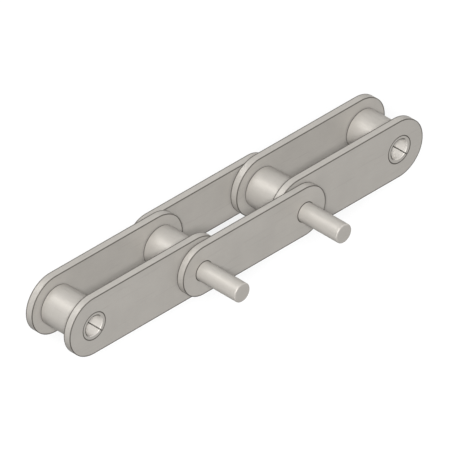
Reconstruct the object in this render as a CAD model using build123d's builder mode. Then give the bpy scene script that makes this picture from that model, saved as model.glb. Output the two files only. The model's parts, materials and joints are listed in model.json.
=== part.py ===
from build123d import *
import os

os.makedirs("parts", exist_ok=True)

# Three links of a double-pitch conveyor chain with its pins extended on one side:
# an inner link at each end, and an outer link between them that carries the pins.
# Sizes are in millimetres. X runs along the chain, Y along the pins and Z up.
# The origin is on the left end bush's axis, midway between the link plates, and
# the front is the side of the extended pins, at low Y.
pitch = 50.8
inner_width = 15.75

# Link plates, with straight edges and full-round ends
inner_plate_height = 23.9
inner_plate_thickness = 3.2
outer_plate_height = 20.4
outer_plate_thickness = 3.2
link_side_gap = 0.3  # from an inner plate to the outer plate beside it

# Pins: a shank that turns in the bushes, a thinner front end and a riveted rear end
pin_diameter = 7.94
pin_shoulder = 0.16  # the front end's step down from the shank, on the radius
pin_extension = 19.2
pin_tip_chamfer = 0.5
rivet_lip = 0.85  # the head's overhang past the shank, on the radius
rivet_height = 1.8
rivet_edge_chamfer = 0.7

# Bushes, each curled from strip, so that a seam runs the length of the wall
pin_bush_gap = 0.03  # on the radius
bush_wall = 1.55
bush_mouth_chamfer = 0.5
bush_seam_width = 0.3
bush_seam_angle = -45

# Rollers, free on the bushes
bush_roller_gap = 0.05  # on the radius
roller_side_gap = 0.17  # at each end of a roller
roller_diameter = 15.88
roller_edge_chamfer = 0.35

# Radii that follow from the fits
pin_radius = pin_diameter / 2
pin_end_radius = pin_radius - pin_shoulder
rivet_radius = pin_radius + rivet_lip
bush_bore_radius = pin_radius + pin_bush_gap
bush_radius = bush_bore_radius + bush_wall
roller_bore_radius = bush_radius + bush_roller_gap

# Distances of the plates' flat faces from the chain's middle plane
inner_plate_inside = inner_width / 2
inner_plate_outside = inner_plate_inside + inner_plate_thickness
outer_plate_inside = inner_plate_outside + link_side_gap
outer_plate_outside = outer_plate_inside + outer_plate_thickness

# Where the four bush axes cross the chain, from left to right
left_end_x = 0
left_joint_x = left_end_x + pitch
right_joint_x = left_joint_x + pitch
right_end_x = right_joint_x + pitch


def front_plane(x, y):
    """A plane that faces the front, with its own y axis up."""
    return Plane(origin=(x, y, 0), x_dir=(1, 0, 0), z_dir=(0, -1, 0))


def make_plate(name, first_hole_x, front_y, height, thickness, hole_radius):
    """A link plate behind front_y, with a hole at each end for a bush or a pin."""
    face = front_plane(first_hole_x + pitch / 2, front_y)
    with BuildPart() as plate:
        with BuildSketch(face):
            SlotCenterToCenter(pitch, height)
            with GridLocations(pitch, 0, 2, 1):
                Circle(hole_radius, mode=Mode.SUBTRACT)
        extrude(amount=-thickness)
    plate.part.label = name
    export_step(plate.part, f"parts/{name}.step")


def make_bush(name, axis_x):
    """A bush flush with both inner plates, with chamfered mouths and a seam."""
    face = front_plane(axis_x, -inner_plate_outside)
    length = 2 * inner_plate_outside
    with BuildPart() as bush:
        with BuildSketch(face):
            Circle(bush_radius)
            Circle(bush_bore_radius, mode=Mode.SUBTRACT)
        extrude(amount=-length)
        mouths = bush.edges().filter_by(GeomType.CIRCLE).group_by(SortBy.RADIUS)[0]
        chamfer(mouths, bush_mouth_chamfer)
        with BuildSketch(face):
            Rectangle(
                2 * bush_radius,
                bush_seam_width,
                rotation=bush_seam_angle,
                align=(Align.MIN, Align.CENTER),
            )
        extrude(amount=-length, mode=Mode.SUBTRACT)
    bush.part.label = name
    export_step(bush.part, f"parts/{name}.step")


def make_roller(name, axis_x):
    """A plain roller that fills the space between the inner plates but for its side gaps."""
    half_length = inner_plate_inside - roller_side_gap
    with BuildPart() as roller:
        with BuildSketch(front_plane(axis_x, -half_length)):
            Circle(roller_diameter / 2)
            Circle(roller_bore_radius, mode=Mode.SUBTRACT)
        extrude(amount=-2 * half_length)
        rims = roller.edges().filter_by(GeomType.CIRCLE).group_by(SortBy.RADIUS)[-1]
        chamfer(rims, roller_edge_chamfer)
    roller.part.label = name
    export_step(roller.part, f"parts/{name}.step")


def make_pin(name, axis_x):
    """A pin turned from its front tip to the head riveted over the rear plate."""
    tip_y = -outer_plate_outside - pin_extension
    head_seat = pin_extension + 2 * outer_plate_outside
    head_top = head_seat + rivet_height
    with BuildPart() as pin:
        with BuildSketch(Plane(origin=(axis_x, tip_y, 0))):
            with BuildLine():
                Polyline(
                    (0, 0),
                    (pin_end_radius, 0),
                    (pin_end_radius, pin_extension),
                    (pin_radius, pin_extension),
                    (pin_radius, head_seat),
                    (rivet_radius, head_seat),
                    (rivet_radius, head_top),
                    (0, head_top),
                    close=True,
                )
            make_face()
        revolve(axis=Axis((axis_x, 0, 0), (0, 1, 0)))
        chamfer(pin.edges().sort_by(Axis.Y)[0], pin_tip_chamfer)
        chamfer(pin.edges().sort_by(Axis.Y)[-1], rivet_edge_chamfer)
    pin.part.label = name
    export_step(pin.part, f"parts/{name}.step")


# Inner link plates, pressed on their bushes
for link, first_hole_x in (("left", left_end_x), ("right", right_joint_x)):
    for side, front_y in (("front", -inner_plate_outside), ("rear", inner_plate_inside)):
        make_plate(
            f"{link}_inner_{side}_plate",
            first_hole_x,
            front_y,
            inner_plate_height,
            inner_plate_thickness,
            bush_radius,
        )

# Outer link plates, pressed on the pins' shanks
for side, front_y in (("front", -outer_plate_outside), ("rear", outer_plate_inside)):
    make_plate(
        f"outer_{side}_plate",
        left_joint_x,
        front_y,
        outer_plate_height,
        outer_plate_thickness,
        pin_radius,
    )

# A bush and a roller at each end of both inner links
for place, axis_x in (
    ("left_end", left_end_x),
    ("left_joint", left_joint_x),
    ("right_joint", right_joint_x),
    ("right_end", right_end_x),
):
    make_bush(f"{place}_bush", axis_x)
    make_roller(f"{place}_roller", axis_x)

# The outer link's pins, which are the chain's two joints
make_pin("left_extended_pin", left_joint_x)
make_pin("right_extended_pin", right_joint_x)
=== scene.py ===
import bmesh
import bpy
import json
import math
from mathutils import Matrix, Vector


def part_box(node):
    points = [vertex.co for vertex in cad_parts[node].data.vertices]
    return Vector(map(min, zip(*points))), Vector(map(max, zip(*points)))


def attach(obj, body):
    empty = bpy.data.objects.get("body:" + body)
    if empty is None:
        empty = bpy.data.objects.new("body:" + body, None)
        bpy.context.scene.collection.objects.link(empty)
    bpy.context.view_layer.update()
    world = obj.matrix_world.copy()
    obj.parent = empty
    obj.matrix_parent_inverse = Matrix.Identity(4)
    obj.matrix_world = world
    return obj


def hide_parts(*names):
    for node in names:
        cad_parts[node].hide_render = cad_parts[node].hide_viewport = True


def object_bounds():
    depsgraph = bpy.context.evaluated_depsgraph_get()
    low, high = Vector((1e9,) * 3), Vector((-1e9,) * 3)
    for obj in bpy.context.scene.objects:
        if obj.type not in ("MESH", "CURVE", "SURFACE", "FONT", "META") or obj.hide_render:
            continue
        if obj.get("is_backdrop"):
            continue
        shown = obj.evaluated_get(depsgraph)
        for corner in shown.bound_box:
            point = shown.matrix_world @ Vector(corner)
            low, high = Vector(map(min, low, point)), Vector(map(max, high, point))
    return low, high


# Dresses the three-link conveyor chain: every piece is made again with its real
# roundings and gets a procedural steel. Everything is in metres, in the CAD's frame.
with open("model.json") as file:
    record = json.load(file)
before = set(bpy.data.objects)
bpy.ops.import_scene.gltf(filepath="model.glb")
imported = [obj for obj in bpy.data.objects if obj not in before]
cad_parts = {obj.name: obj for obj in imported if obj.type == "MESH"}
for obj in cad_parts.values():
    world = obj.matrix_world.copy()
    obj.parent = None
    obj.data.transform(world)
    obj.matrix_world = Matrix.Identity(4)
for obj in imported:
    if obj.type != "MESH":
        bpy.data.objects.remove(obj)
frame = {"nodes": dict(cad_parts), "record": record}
cadLow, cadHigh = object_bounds()
mm = 0.001

# Sizes and bodies read from the frame. The gap is the one on the radius.
pinBushGap = 0.03 * mm
mounts = {mount["name"]: mount for mount in frame["record"]["mounts"]}
boreRadius = mounts["left_end_bore"]["dims"]["r_mm"] * mm
tipRadius = mounts["left_pin_end"]["dims"]["r_mm"] * mm
shankRadius = boreRadius - pinBushGap
bodies = frame["record"]["behaviour"]["bodies"]
bushLow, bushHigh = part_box("left_end_bush")
bushRadius = (bushHigh - bushLow).z / 2


# Node tools, shared by the geometry trees and the materials
class Value:
    # A number in a node tree. Sums written with it add Math nodes.
    def __init__(self, kit, socket):
        self.kit = kit
        self.socket = socket

    def __add__(self, other):
        return self.kit.maths("ADD", self, other)

    def __radd__(self, other):
        return self.kit.maths("ADD", other, self)

    def __sub__(self, other):
        return self.kit.maths("SUBTRACT", self, other)

    def __rsub__(self, other):
        return self.kit.maths("SUBTRACT", other, self)

    def __mul__(self, other):
        return self.kit.maths("MULTIPLY", self, other)

    def __rmul__(self, other):
        return self.kit.maths("MULTIPLY", other, self)

    def __truediv__(self, other):
        return self.kit.maths("DIVIDE", self, other)

    def __rtruediv__(self, other):
        return self.kit.maths("DIVIDE", other, self)

    def __abs__(self):
        return self.kit.maths("ABSOLUTE", self)


class Kit:
    # Adds nodes to one tree
    def __init__(self, tree):
        self.tree = tree

    def add(self, kind, settings=None, sockets=None):
        # The settings come first, because some of them change which sockets there are
        node = self.tree.nodes.new(kind)
        for name, value in (settings or {}).items():
            setattr(node, name, value)
        for name, value in (sockets or {}).items():
            self.feed(self.find(node.inputs, name), value)
        return node

    def find(self, sockets, name):
        if isinstance(name, int):
            return sockets[name]
        return next(s for s in sockets if s.name == name and s.enabled)

    def feed(self, socket, value):
        if isinstance(value, Value):
            value = value.socket
        if isinstance(value, bpy.types.NodeSocket):
            self.tree.links.new(value, socket)
        else:
            socket.default_value = value

    def take(self, node, name):
        return self.find(node.outputs, name)

    def value(self, node, name):
        return Value(self, self.take(node, name))

    def maths(self, operation, *values):
        node = self.add("ShaderNodeMath", {"operation": operation}, dict(enumerate(values)))
        return self.value(node, "Value")

    def low(self, a, b):
        return self.maths("MINIMUM", a, b)

    def high(self, a, b):
        return self.maths("MAXIMUM", a, b)

    def split(self, vector):
        node = self.add("ShaderNodeSeparateXYZ", sockets={"Vector": vector})
        return [self.value(node, axis) for axis in "XYZ"]

    def join(self, x, y, z):
        node = self.add("ShaderNodeCombineXYZ", sockets={"X": x, "Y": y, "Z": z})
        return self.take(node, "Vector")

    def pointPlace(self):
        # Each point's place, in a geometry tree
        return self.take(self.add("GeometryNodeInputPosition"), "Position")


def newGeometryTree(name, sizes):
    # A geometry tree with named inputs, and its Kit and input values
    tree = bpy.data.node_groups.new(name, "GeometryNodeTree")
    tree.interface.new_socket("Geometry", in_out="INPUT", socket_type="NodeSocketGeometry")
    for label, kind in sizes.items():
        tree.interface.new_socket(label, in_out="INPUT", socket_type="NodeSocket" + kind)
    tree.interface.new_socket("Geometry", in_out="OUTPUT", socket_type="NodeSocketGeometry")
    kit = Kit(tree)
    entry = kit.add("NodeGroupInput")
    inputs = {label: kit.value(entry, label) for label in ["Geometry", *sizes]}
    return tree, kit, inputs


onPoints = {"data_type": "FLOAT_VECTOR", "domain": "POINT"}
weldGap = 0.001 * mm


def wrapProfile(kit, profile, columns):
    # A grid with one column for each copy of the profile. Each point comes with its
    # column's number and its two profile coordinates.
    size = kit.add("GeometryNodeAttributeDomainSize", sockets={"Geometry": profile})
    count = kit.value(size, "Point Count")
    grid = kit.add("GeometryNodeMeshGrid", sockets={"Vertices X": columns, "Vertices Y": count})
    index = kit.value(kit.add("GeometryNodeInputIndex"), "Index")
    column = kit.maths("FLOOR", index / count)
    row = index - column * count
    wanted = {"Geometry": profile, "Value": kit.pointPlace(), "Index": row}
    sample = kit.add("GeometryNodeSampleIndex", onPoints, wanted)
    across, along = kit.split(kit.take(sample, "Value"))[:2]
    return kit.take(grid, "Mesh"), column, across, along


def setPlaces(kit, geometry, place):
    node = kit.add("GeometryNodeSetPosition", sockets={"Geometry": geometry, "Position": place})
    return kit.take(node, "Geometry")


def joinAll(kit, *geometries):
    node = kit.add("GeometryNodeJoinGeometry")
    for geometry in geometries:
        kit.tree.links.new(geometry, node.inputs[0])
    return kit.take(node, "Geometry")


def weld(kit, geometry):
    sockets = {"Geometry": geometry, "Distance": weldGap}
    return kit.take(kit.add("GeometryNodeMergeByDistance", sockets=sockets), "Geometry")


def finishTree(kit, geometry, move, material):
    # Keeps each point's own place as the materials need it, before the move to the
    # piece's place in the chain, and gives the piece its material
    own = {"Name": "own", "Value": kit.pointPlace()}
    steps = (
        ("GeometryNodeStoreNamedAttribute", onPoints, own),
        ("GeometryNodeSetPosition", {}, {"Offset": move}),
        ("GeometryNodeSetShadeSmooth", {}, {"Shade Smooth": True}),
        ("GeometryNodeRealizeInstances", {}, {}),
        ("GeometryNodeSetMaterial", {}, {"Material": material}),
    )
    for kind, settings, sockets in steps:
        node = kit.add(kind, settings, {"Geometry": geometry, **sockets})
        geometry = node.outputs["Geometry"]
    kit.add("NodeGroupOutput", sockets={"Geometry": geometry})


def turnedTree():
    # Turns a profile about the Y axis. A seam width above nothing leaves a straight slot
    # along the wall, as in a bush that is curled from strip.
    tree, kit, inputs = newGeometryTree(
        "turnedPiece",
        {
            "Steps": "Int",
            "Seam Angle": "Float",
            "Seam Width": "Float",
            "Move": "Vector",
            "Material": "Material",
        },
    )
    steps = inputs["Steps"]
    mesh, column, radius, along = wrapProfile(kit, inputs["Geometry"], steps + 1)
    slotAngle = kit.maths("ARCSINE", inputs["Seam Width"] / 2 / radius)
    angle = inputs["Seam Angle"] + slotAngle + (2 * math.pi - 2 * slotAngle) * column / steps
    place = kit.join(radius * kit.maths("COSINE", angle), along, radius * kit.maths("SINE", angle))
    wall = weld(kit, setPlaces(kit, mesh, place))
    finishTree(kit, wall, inputs["Move"], inputs["Material"])
    return tree


def plateTree():
    # A link plate: its edge profile runs round the outline, and round both holes in a
    # tighter form, and the two flat faces are filled between them. The plate is filled
    # lying down, then stood up.
    tree, kit, inputs = newGeometryTree(
        "linkPlate",
        {
            "Arc Steps": "Int",
            "Pitch": "Float",
            "End Radius": "Float",
            "Hole Radius": "Float",
            "Hole Softness": "Float",
            "Thickness": "Float",
            "Move": "Vector",
            "Material": "Material",
        },
    )
    halfPitch = inputs["Pitch"] / 2
    arcPoints = inputs["Arc Steps"] + 1

    def wall(centre, spread, radius, side):
        # Two half circles round the centre, set apart by the spread
        mesh, column, inset, depth = wrapProfile(kit, inputs["Geometry"], 2 * arcPoints + 1)
        point = kit.maths("MODULO", column, 2 * arcPoints)
        half = kit.maths("FLOOR", point / arcPoints)
        angle = ((point - half * arcPoints) / inputs["Arc Steps"] + half - 0.5) * math.pi
        reach = radius + side * inset
        x = centre + (1 - 2 * half) * spread + reach * kit.maths("COSINE", angle)
        return setPlaces(kit, mesh, kit.join(x, reach * kit.maths("SINE", angle), depth))

    outline = wall(0, halfPitch, inputs["End Radius"], -1)
    holes = [
        wall(centre, 0, inputs["Hole Radius"], inputs["Hole Softness"])
        for centre in (halfPitch, halfPitch * -1)
    ]
    walls = weld(kit, joinAll(kit, outline, *holes))
    neighbours = kit.value(kit.add("GeometryNodeInputMeshEdgeNeighbors"), "Face Count")
    openEdge = kit.maths("COMPARE", neighbours, 1, 0)
    depth = kit.split(kit.pointPlace())[2]
    faces = []
    for isBack, compare in ((0, "LESS_THAN"), (1, "GREATER_THAN")):
        chosen = openEdge * kit.maths(compare, depth, inputs["Thickness"] / 2)
        rims = kit.add("GeometryNodeMeshToCurve", sockets={"Mesh": walls, "Selection": chosen})
        fill = kit.add("GeometryNodeFillCurve", sockets={"Curve": kit.take(rims, "Curve")})
        lift = kit.join(0, 0, inputs["Thickness"] * isBack)
        lifted = {"Geometry": kit.take(fill, "Mesh"), "Offset": lift}
        faces.append(kit.take(kit.add("GeometryNodeSetPosition", sockets=lifted), "Geometry"))
    plate = weld(kit, joinAll(kit, walls, *faces))
    x, y, z = kit.split(kit.pointPlace())
    stood = setPlaces(kit, plate, kit.join(x, z, y))
    finishTree(kit, stood, inputs["Move"], inputs["Material"])
    return tree


softening = {
    "arcSteps": 5,
    "supportGap": 0.04 * mm,
}


def softCorners(corners, closed):
    # Corners of (across, along, rounding) become the profile's points: an arc at each
    # rounding, with a point just beside each end of it that keeps the flats flat when
    # shaded smooth
    points = []
    for index, (across, along, rounding) in enumerate(corners):
        here = Vector((across, along))
        if rounding == 0:
            points.append(here)
            continue
        before = (Vector(corners[index - 1][:2]) - here).normalized()
        after = (Vector(corners[(index + 1) % len(corners)][:2]) - here).normalized()
        half = before.angle(after) / 2
        centre = here + (before + after).normalized() * rounding / math.sin(half)
        start = here + before * rounding / math.tan(half)
        first = (start - centre).normalized()
        turn = math.pi - 2 * half
        side = 1 if first.cross(before) < 0 else -1
        points.append(start + before * softening["supportGap"])
        for step in range(softening["arcSteps"] + 1):
            bend = side * turn * step / softening["arcSteps"]
            cosine, sine = math.cos(bend), math.sin(bend)
            spoke = Vector((first.x * cosine - first.y * sine, first.x * sine + first.y * cosine))
            points.append(centre + spoke * rounding)
        points.append(here + after * (rounding / math.tan(half) + softening["supportGap"]))
    if closed:
        points.append(points[0].copy())
    return points


def makePiece(name, node, slotName, tree, profile, sizes):
    # One piece of the chain, made by a tree from its profile, in place of its CAD node
    mesh = bpy.data.meshes.new(name + "_profile")
    mesh.from_pydata([(p.x, p.y, 0) for p in profile], [], [])
    source = bpy.data.objects.new(name + "_profile", mesh)
    bpy.context.scene.collection.objects.link(source)
    modifier = source.modifiers.new("shape", "NODES")
    modifier.node_group = tree
    for item in tree.interface.items_tree:
        if item.in_out == "INPUT" and item.name in sizes:
            modifier[item.identifier] = sizes[item.name]
    bpy.context.view_layer.update()
    shaped = source.evaluated_get(bpy.context.evaluated_depsgraph_get())
    made = bpy.data.meshes.new_from_object(shaped)
    bpy.data.objects.remove(source)
    work = bmesh.new()
    work.from_mesh(made)
    seamEdges = [e for e in work.edges if e.is_boundary]
    if seamEdges:
        bmesh.ops.holes_fill(work, edges=seamEdges)
    bmesh.ops.recalc_face_normals(work, faces=work.faces)
    work.to_mesh(made)
    work.free()
    piece = bpy.data.objects.new(name, made)
    made.name = name
    bpy.context.scene.collection.objects.link(piece)
    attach(piece, next(b for b, nodes in bodies.items() if node in nodes))
    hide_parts(node)


# Materials
class SteelKit(Kit):
    # The patterns that the steels share
    def length(self, x, y, z):
        node = self.add("ShaderNodeVectorMath", {"operation": "LENGTH"}, {0: self.join(x, y, z)})
        return self.value(node, "Value")

    def noise(self, place, kind, scale=1):
        # Its value is 0.5 on average
        detail, roughness = kind
        sockets = {"Vector": place, "Scale": scale, "Detail": detail, "Roughness": roughness}
        return self.value(self.add("ShaderNodeTexNoise", {"noise_dimensions": "3D"}, sockets), "Fac")

    def ramp(self, value, start, end):
        # 0 at start, 1 at end, and smooth between them
        sockets = {"Value": value, "From Min": start, "From Max": end}
        node = self.add("ShaderNodeMapRange", {"interpolation_type": "SMOOTHSTEP"}, sockets)
        return self.value(node, "Result")

    def edgeLine(self, distance, width):
        # The dark line that lies along an edge, full for half its width
        return self.ramp(distance, width, width / 2)

    def stretch(self, place, scale, turn=(0, 0, 0)):
        sockets = {"Vector": place, "Rotation": turn, "Scale": scale}
        return self.take(self.add("ShaderNodeMapping", {"vector_type": "POINT"}, sockets), "Vector")

    def blend(self, share, first, second):
        node = self.add("ShaderNodeMix", {"data_type": "RGBA"}, {0: share, 6: first, 7: second})
        return node.outputs[2]


# What all the steels share. Each noise has its detail and its roughness.
steel = {
    "pale": (0.407, 0.386, 0.358, 1),
    "deep": (0.315, 0.300, 0.278, 1),
    # Painted light: a brighter colour for the bush bore, in place of the light that does not reach
    # into it
    "worked": (0.620, 0.595, 0.561, 1),
    # The dark lines' colour: lines along edges and joints, and painted shade where the lines widen
    # below the plates' ends and round the bush mouths
    "oxide": (0.070, 0.065, 0.057, 1),
    "edgeTint": (0.25, 0.24, 0.23, 1),
    "gloss": 0.05,
    "grainNoise": (4, 0.65),
    "speckleNoise": (3, 0.65),
    "cloudNoise": (3, 0.55),
    "scratchNoise": (1, 0.5),
    "scratchRange": (0.66, 0.74),  # a scratch is where its noise is above this
    "lineBreakup": 0.36,  # how far speckles and clouds thin the dark line
    "workedShare": 0.8,
    "workedTone": 0.6,
    "roughness": 0.44,
    "speckleRoughness": 0.2,
    "grainRoughness": 0.16,
    "scratchRoughness": -0.06,
    "lineRoughness": 0.15,
}


def steelMaterial(name, look, findLine, findGrain, findPaintedLight=None):
    # From the piece's own place, findLine gives the dark line's strength, findGrain the
    # marks of how it was made, and findPaintedLight where the colour is painted brighter as painted
    # light
    material = bpy.data.materials.new(name)
    material.use_nodes = True
    material.node_tree.nodes.clear()
    kit = SteelKit(material.node_tree)
    place = kit.take(kit.add("ShaderNodeTexCoord"), "Object")
    own = kit.take(kit.add("ShaderNodeAttribute", {"attribute_name": "own"}), "Vector")
    grain = findGrain(kit, own)
    speckle = kit.noise(place, steel["speckleNoise"], look["speckleScale"])
    cloud = kit.noise(place, steel["cloudNoise"], look["cloudScale"])
    scratches = 0
    for turn in look["scratchTurns"]:
        lay = kit.stretch(place, look["scratchScale"], turn)
        scratch = kit.ramp(kit.noise(lay, steel["scratchNoise"]), *steel["scratchRange"])
        scratches = scratches + scratch
    tone = 0.5 + (grain - 0.5) * look["grainTone"] + (speckle - 0.5) * look["speckleTone"]
    tone = tone + (cloud - 0.5) * look["cloudTone"] - scratches * look["scratchTone"]
    line = findLine(kit, *kit.split(own))
    line = kit.low(line * (1 + steel["lineBreakup"] * (speckle + cloud - 1)), 1)
    clean = kit.blend(tone, steel["deep"], steel["pale"])
    # Painted light: the colour is made brighter where findPaintedLight says, in place of light
    if findPaintedLight:
        share = steel["workedShare"] + (tone - 0.5) * steel["workedTone"]
        clean = kit.blend(findPaintedLight(kit, *kit.split(own)) * share, clean, steel["worked"])
    roughness = steel["roughness"] + (speckle - 0.5) * steel["speckleRoughness"]
    roughness = roughness + (grain - 0.5) * steel["grainRoughness"]
    roughness = roughness + scratches * steel["scratchRoughness"] + line * steel["lineRoughness"]
    height = grain * look["grainDepth"] + speckle * look["speckleDepth"]
    height = height - scratches * look["scratchDepth"]
    bump = kit.add("ShaderNodeBump", sockets={"Strength": 1, "Distance": 1, "Height": height})
    # The dark line, partly painted shade, is blended over the steel's colour
    shader = kit.add(
        "ShaderNodeBsdfPrincipled",
        sockets={
            "Base Color": kit.blend(line * look["lineStrength"], clean, steel["oxide"]),
            "Metallic": look["metal"],
            "Roughness": roughness,
            "Specular IOR Level": steel["gloss"],
            "Specular Tint": steel["edgeTint"],
            "Normal": kit.take(bump, "Normal"),
        },
    )
    kit.add("ShaderNodeOutputMaterial", sockets={"Surface": kit.take(shader, "BSDF")})
    return material


# Link plates, blanked from strip
plateLook = {
    "rounding": 0.16 * mm,
    "rimWidth": 0.64 * mm,  # how far the edge profile reaches over the flat faces
    "holeSoftness": 0.4,  # the holes' rounding, as a share of the outline's
    "arcSteps": 64,
    "metal": 0.18,
    "lineWidth": 0.40 * mm,
    "lineStrength": 0.9,
    # Painted shade: the dark line is wider below and round the right end, where the edge turns away
    # from the light
    "lowerLine": 0.6,  # how much wider the line is below and round the right end
    "lowerReach": 0.6,  # the share of the ends' radius over which it widens
    "holeLine": 2.0,  # how many times narrower the line is round the holes
    "burrLine": 1.6,  # how many times wider it is on the edge's rear side, with the burr
    "rolledScale": (300, 2000, 4500),
    "shearedScale": (3800, 90, 3800),
    "breakBand": (0.30, 0.40),  # where the steel broke, as shares of the thickness
    "shearedTone": 0.22,  # the blanked edges' own tone, where 0.5 is that of the faces
    "shearedMarks": 0.5,
    "brokenMarks": 0.8,
    "brokenTone": 0.05,
    "edgeBlend": (0.04 * mm, 0.16 * mm),
    "grainTone": 0.55,
    "grainDepth": 0.007 * mm,
    "speckleScale": 3600,
    "speckleTone": 0.5,
    "speckleDepth": 0.005 * mm,
    "cloudScale": 90,
    "cloudTone": 0.6,
    "scratchTurns": ((0, 0.35, 0), (0, -0.7, 0.2), (0.2, 1.3, 0)),
    "scratchScale": (40, 900, 900),
    "scratchTone": 0.18,
    "scratchDepth": 0.003 * mm,
}


def plateLine(length, height, thickness, holeRadius):
    # The line lies on the flat faces along the outline and the holes, and on the edge
    # along both faces. Below and round the right end it is widened as painted shade.
    endRadius = height / 2
    halfPitch = length / 2 - endRadius

    def findLine(kit, x, y, z):
        along = abs(x) - halfPitch
        past = kit.high(along, 0)
        toOutline = endRadius - kit.length(past, 0, z)
        toHole = (kit.length(along, 0, z) - holeRadius) * plateLook["holeLine"]
        toFace = kit.low(y, (thickness - y) / plateLook["burrLine"])
        # Painted shade: wider below and round the right end, where the rounded edge turns away from
        # the light
        downRight = past * kit.maths("SIGN", x) - z
        shadeSide = kit.ramp(downRight, 0, endRadius * plateLook["lowerReach"])
        width = plateLook["lineWidth"] * (1 + plateLook["lowerLine"] * shadeSide)
        return kit.edgeLine(kit.high(kit.low(toOutline, toHole), toFace), width)

    return findLine


def plateGrain(thickness):
    # Rolling marks run along the flat faces. The blanked edges have marks through the
    # thickness, smooth where the punch went in and rough where the steel broke away.
    def findGrain(kit, own):
        y = kit.split(own)[1]
        rolled = kit.noise(kit.stretch(own, plateLook["rolledScale"]), steel["grainNoise"])
        sheared = kit.noise(kit.stretch(own, plateLook["shearedScale"]), steel["grainNoise"])
        broken = kit.ramp(y / thickness, *plateLook["breakBand"])
        marks = plateLook["shearedMarks"] + broken * plateLook["brokenMarks"]
        edge = plateLook["shearedTone"] + (sheared - 0.5) * marks - broken * plateLook["brokenTone"]
        onEdge = kit.ramp(kit.low(y, thickness - y), *plateLook["edgeBlend"])
        return rolled + (edge - rolled) * onEdge

    return findGrain


plateShape = plateTree()
plateSteels = {}
for node in sorted(frame["nodes"]):
    if not node.endswith("_plate"):
        continue
    low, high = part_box(node)
    length, thickness, height = high - low
    holeRadius = bushRadius if "inner" in node else shankRadius
    steelName = "inner_plate_steel" if "inner" in node else "outer_plate_steel"
    if steelName not in plateSteels:
        findLine = plateLine(length, height, thickness, holeRadius)
        findGrain = plateGrain(thickness)
        plateSteels[steelName] = steelMaterial(steelName, plateLook, findLine, findGrain)
    edgeProfile = [
        (plateLook["rimWidth"], 0, 0),
        (0, 0, plateLook["rounding"]),
        (0, thickness, plateLook["rounding"]),
        (plateLook["rimWidth"], thickness, 0),
    ]
    plateSizes = {
        "Arc Steps": plateLook["arcSteps"],
        "Pitch": length - height,
        "End Radius": height / 2,
        "Hole Radius": holeRadius,
        "Hole Softness": plateLook["holeSoftness"],
        "Thickness": thickness,
        "Move": ((low.x + high.x) / 2, low.y, 0),
        "Material": plateSteels[steelName],
    }
    profile = softCorners(edgeProfile, closed=False)
    makePiece("blanked_" + node, node, "plate_steel", plateShape, profile, plateSizes)
print("plates done")


# Turned pieces. The working marks run round them: the place is stretched along Y, and on
# the flat ends the distance from the axis takes that part.
turnedLook = {
    "prefix": "turned_",
    "steps": 96,
    "seamWidth": 0,
    "seamAngle": 0,
    "metal": 0.32,
    "roundScale": 60,
    "markScale": 5200,
    "grainTone": 0.5,
    "grainDepth": 0.012 * mm,
    "speckleScale": 3800,
    "speckleTone": 0.3,
    "speckleDepth": 0.003 * mm,
    "cloudScale": 120,
    "cloudTone": 0.45,
    "scratchTurns": ((0.4, 0, 0.5), (-0.7, 0.3, 1.2)),
    "scratchScale": (900, 40, 900),
    "scratchTone": 0.12,
    "scratchDepth": 0.002 * mm,
    "lineStrength": 0.95,
}


def turnedGrain(look):
    def findGrain(kit, own):
        x, y, z = kit.split(own)
        along = (y + kit.length(x, 0, z)) * look["markScale"]
        place = kit.join(x * look["roundScale"], along, z * look["roundScale"])
        return kit.noise(place, steel["grainNoise"])

    return findGrain


rollerLook = {
    **turnedLook,
    "boreGap": 0.05 * mm,
    "rimRounding": 0.25 * mm,
    "lineWidth": 0.55 * mm,
}
rollerLow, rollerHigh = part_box("left_end_roller")
rollerRadius = (rollerHigh - rollerLow).z / 2
rollerBore = bushRadius + rollerLook["boreGap"]
rollerCorners = [
    (rollerBore, rollerLow.y, rollerLook["rimRounding"]),
    (rollerRadius, rollerLow.y, rollerLook["rimRounding"]),
    (rollerRadius, rollerHigh.y, rollerLook["rimRounding"]),
    (rollerBore, rollerHigh.y, rollerLook["rimRounding"]),
]


def rollerLine(kit, x, y, z):
    # Round both outer rims
    toRim = kit.high(rollerRadius - kit.length(x, 0, z), rollerHigh.y - abs(y))
    return kit.edgeLine(toRim, rollerLook["lineWidth"])


bushLook = {
    **turnedLook,
    "prefix": "curled_",
    "mouthRounding": 0.32 * mm,
    "rimRounding": 0.14 * mm,
    "seamWidth": 0.14 * mm,
    "seamAngle": -45,
    "seamLine": 0.22 * mm,
    "lineWidth": 0.34 * mm,
    # Painted shade round the mouths, darkest on the side away from the seam, where the bore wall
    # turns from the light
    "mouthFade": (-0.1414, 0.2828),  # from the seam's side round to the far side
    # Where the bore's painted light fades out towards the mouth rounding
    "boreFade": (0.15 * mm, 0.02 * mm),
}
bushCorners = [
    (boreRadius, bushLow.y, bushLook["mouthRounding"]),
    (bushRadius, bushLow.y, bushLook["rimRounding"]),
    (bushRadius, bushHigh.y, bushLook["rimRounding"]),
    (boreRadius, bushHigh.y, bushLook["mouthRounding"]),
]
seamX = math.cos(math.radians(bushLook["seamAngle"]))
seamZ = math.sin(math.radians(bushLook["seamAngle"]))


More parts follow.
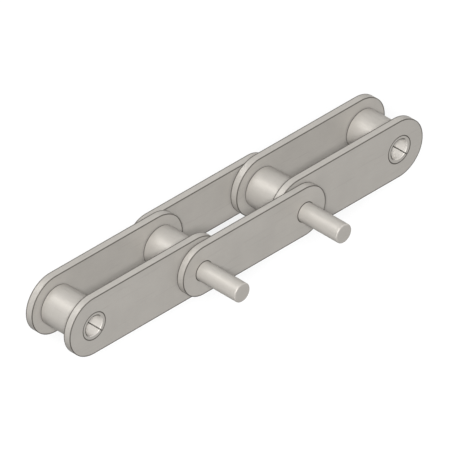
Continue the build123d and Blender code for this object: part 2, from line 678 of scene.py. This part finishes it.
def bushLine(kit, x, y, z):
    # Round both outer rims, along the seam, and half as wide round both mouths, where it is
    # painted shade that fades out towards the seam
    radius = kit.length(x, 0, z)
    toEnd = bushHigh.y - abs(y)
    rim = kit.edgeLine(kit.high(bushRadius - radius, toEnd), bushLook["lineWidth"])
    fromSeam = (x * seamX + z * seamZ) * -1
    toSeam = abs(z * seamX - x * seamZ) - bushLook["seamWidth"] / 2
    seam = kit.edgeLine(kit.high(toSeam, fromSeam), bushLook["seamLine"])
    # Painted shade: the line round the mouths, darker away from the seam
    toMouth = kit.high(radius - boreRadius, toEnd) - bushLook["mouthRounding"]
    farFromSeam = kit.ramp(fromSeam / radius, *bushLook["mouthFade"])
    mouth = kit.edgeLine(toMouth, bushLook["lineWidth"] / 2) * farFromSeam
    return kit.high(kit.high(rim, seam), mouth)


def bushPaintedLight(kit, x, y, z):
    # The bore's wall, painted brighter than the steel: painted light in place of the light that does
    # not reach into the bore
    return kit.ramp(kit.length(x, 0, z) - boreRadius, *bushLook["boreFade"])


pinLook = {
    **turnedLook,
    "metal": 0.24,
    "tipRounding": 0.5 * mm,
    "headRounding": 0.75 * mm,
    "headSeatRounding": 0.1 * mm,
    "shoulderRounding": 0.03 * mm,
    "dimpleRadius": 1.7 * mm,
    "dimpleFloor": 0.765 * mm,
    "dimpleDepth": 0.35 * mm,
    "dimpleRounding": 0.4 * mm,
    "lineWidth": 0.2 * mm,
}
pinLow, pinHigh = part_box("left_extended_pin")
headRadius = (pinHigh - pinLow).z / 2
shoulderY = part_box("outer_front_plate")[0].y
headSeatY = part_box("outer_rear_plate")[1].y
dimpleY = pinHigh.y - pinLook["dimpleDepth"]
pinCorners = [
    (0, pinLow.y, 0),
    (tipRadius, pinLow.y, pinLook["tipRounding"]),
    (tipRadius, shoulderY, pinLook["shoulderRounding"]),
    (shankRadius, shoulderY, pinLook["shoulderRounding"]),
    (shankRadius, headSeatY, pinLook["shoulderRounding"]),
    (headRadius, headSeatY, pinLook["headSeatRounding"]),
    (headRadius, pinHigh.y, pinLook["headRounding"]),
    (pinLook["dimpleRadius"], pinHigh.y, pinLook["dimpleRounding"]),
    (pinLook["dimpleFloor"], dimpleY, pinLook["dimpleRounding"]),
    (0, dimpleY, 0),
]


def pinLine(kit, x, y, z):
    # At the shoulder in the front plate, and under the riveted head's rim
    toSeat = kit.high(headRadius - kit.length(x, 0, z), abs(y - headSeatY))
    return kit.edgeLine(kit.low(abs(y - shoulderY), toSeat), pinLook["lineWidth"])


# For each kind of turned piece: its look, its corners, whether they close into a ring,
# where its dark lines are and where its colour is painted brighter as painted light
turnedKinds = {
    "roller": (rollerLook, rollerCorners, True, rollerLine, None),
    "bush": (bushLook, bushCorners, True, bushLine, bushPaintedLight),
    "pin": (pinLook, pinCorners, False, pinLine, None),
}
turnedParts = {}
for kind, (look, corners, isRing, findLine, findPaintedLight) in turnedKinds.items():
    material = steelMaterial(kind + "_steel", look, findLine, turnedGrain(look), findPaintedLight)
    turnedParts[kind] = (look, softCorners(corners, closed=isRing), material)

turnedShape = turnedTree()
for node in sorted(frame["nodes"]):
    kind = node.split("_")[-1]
    if kind not in turnedParts:
        continue
    look, profile, material = turnedParts[kind]
    low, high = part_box(node)
    turnedSizes = {
        "Steps": look["steps"],
        "Seam Angle": math.radians(look["seamAngle"]),
        "Seam Width": look["seamWidth"],
        "Move": ((low.x + high.x) / 2, 0, 0),
        "Material": material,
    }
    makePiece(look["prefix"] + node, node, kind + "_steel", turnedShape, profile, turnedSizes)
print("rollers, bushes and pins done")


# Stage. The floor lies low enough for a link that swings down. What the camera sees of the
# floor and the world is pale, and what lights the chain from them is dim.
stageLook = {
    "floorSize": 8.0,
    "floorDrop": 51 * mm,
    "floorColour": (0.08, 0.08, 0.08, 1),
    "seenFloorColour": (0.26, 0.26, 0.26, 1),
    "seenFloorGlow": 0.7,
    "worldColour": (1, 1, 1, 1),
    "worldStrength": 0.16,
}


def seenDirectly(kit):
    # 1 for what is seen by the camera, in a reflection or through glass
    path = kit.add("ShaderNodeLightPath")
    glossy = kit.high(kit.value(path, "Is Glossy Ray"), kit.value(path, "Is Transmission Ray"))
    return kit.high(kit.value(path, "Is Camera Ray"), glossy)


reach = stageLook["floorSize"] / 2
floorZ = cadLow.z - stageLook["floorDrop"]
corners = [(-reach, -reach), (reach, -reach), (reach, reach), (-reach, reach)]
floorMesh = bpy.data.meshes.new("floor")
floorMesh.from_pydata([(x, y, floorZ) for x, y in corners], [], [(0, 1, 2, 3)])
floor = bpy.data.objects.new("floor", floorMesh)
bpy.context.scene.collection.objects.link(floor)
floorPaint = bpy.data.materials.new("floor_paint")
floorPaint.use_nodes = True
floorPaint.node_tree.nodes.clear()
paint = Kit(floorPaint.node_tree)
hidden = paint.add("ShaderNodeBsdfDiffuse", sockets={"Color": stageLook["floorColour"]})
shaded = paint.add("ShaderNodeBsdfDiffuse", sockets={"Color": stageLook["seenFloorColour"]})
glow = paint.add("ShaderNodeEmission", sockets={"Strength": stageLook["seenFloorGlow"]})
seen = paint.add("ShaderNodeAddShader", sockets={0: shaded.outputs[0], 1: glow.outputs[0]})
choice = {0: seenDirectly(paint), 1: hidden.outputs[0], 2: seen.outputs[0]}
mixed = paint.add("ShaderNodeMixShader", sockets=choice)
paint.add("ShaderNodeOutputMaterial", sockets={"Surface": mixed.outputs[0]})
floorMesh.materials.append(floorPaint)
floor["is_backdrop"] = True

world = bpy.data.worlds.new("studio")
bpy.context.scene.world = world
world.use_nodes = True
world.node_tree.nodes.clear()
sky = Kit(world.node_tree)
strength = stageLook["worldStrength"] + seenDirectly(sky) * (1 - stageLook["worldStrength"])
skyLight = {"Color": stageLook["worldColour"], "Strength": strength}
background = sky.add("ShaderNodeBackground", sockets=skyLight)
sky.add("ShaderNodeOutputWorld", sockets={"Surface": background.outputs[0]})
print("stage done")

# Lamps: direction from the chain, distance, width and height in metres, the level that a
# white surface square to the lamp would have, and whether it casts shadows. The highlight
# lamp casts none, so its streaks on the rollers and pins run right up to the plates.
lamps = {
    "frontSoftbox": ((-1, -1, 1), 7.5, 1.5, 1.5, 1.63, True),
    "rearSoftbox": ((-0.45, 0.3, 0.84), 1.9, 1.2, 1.2, 0.04, True),
    "highlightSoftbox": ((-0.45, 0.42, 0.79), 1.5, 0.7, 0.7, 0.34, False),
    "leftSoftbox": ((-0.9, -0.3, 0.15), 1.8, 1.2, 1.2, 0.2, True),
    "rightSoftbox": ((0.9, 0, 0.2), 1.8, 1.2, 1.2, 0.42, True),
    "backSoftbox": ((0.4, 0.9, 0.03), 2.2, 1.4, 1.2, 0.75, True),
}
middle = (cadLow + cadHigh) / 2
for name, (direction, distance, width, height, level, castsShadow) in lamps.items():
    data = bpy.data.lights.new(name, "AREA")
    data.use_shadow = castsShadow
    data.shape = "RECTANGLE"
    data.size = width
    data.size_y = height
    data.energy = level * (math.pi * distance) ** 2
    lamp = bpy.data.objects.new(name, data)
    bpy.context.scene.collection.objects.link(lamp)
    towards = Vector(direction).normalized()
    lamp.location = middle + towards * distance
    lamp.rotation_euler = towards.to_track_quat("Z", "Y").to_euler()

# The photograph is an isometric drawing, so the camera stands far off with a long lens. It
# aims a little left of the middle, which shares out what perspective is left at both ends.
cameraLook = {
    "lens": 1500,
    "sensor": 36,
    "frameWidth": 158.97 * mm,
    "direction": (-1, -1, 1),
    "aim": (75.9 * mm, 0, -0.12 * mm),
    "clipEnd": 30,
}
cameraData = bpy.data.cameras.new("camera")
cameraData.lens = cameraLook["lens"]
cameraData.sensor_width = cameraLook["sensor"]
cameraData.clip_end = cameraLook["clipEnd"]
camera = bpy.data.objects.new("camera", cameraData)
bpy.context.scene.collection.objects.link(camera)
back = Vector(cameraLook["direction"]).normalized()
distance = cameraLook["frameWidth"] * cameraLook["lens"] / cameraLook["sensor"]
camera.location = Vector(cameraLook["aim"]) + back * distance
camera.rotation_euler = (-back).to_track_quat("-Z", "Y").to_euler()
bpy.context.scene.camera = camera
bpy.context.scene.view_settings.view_transform = "Standard"
print("lamps and camera done")

low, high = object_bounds()
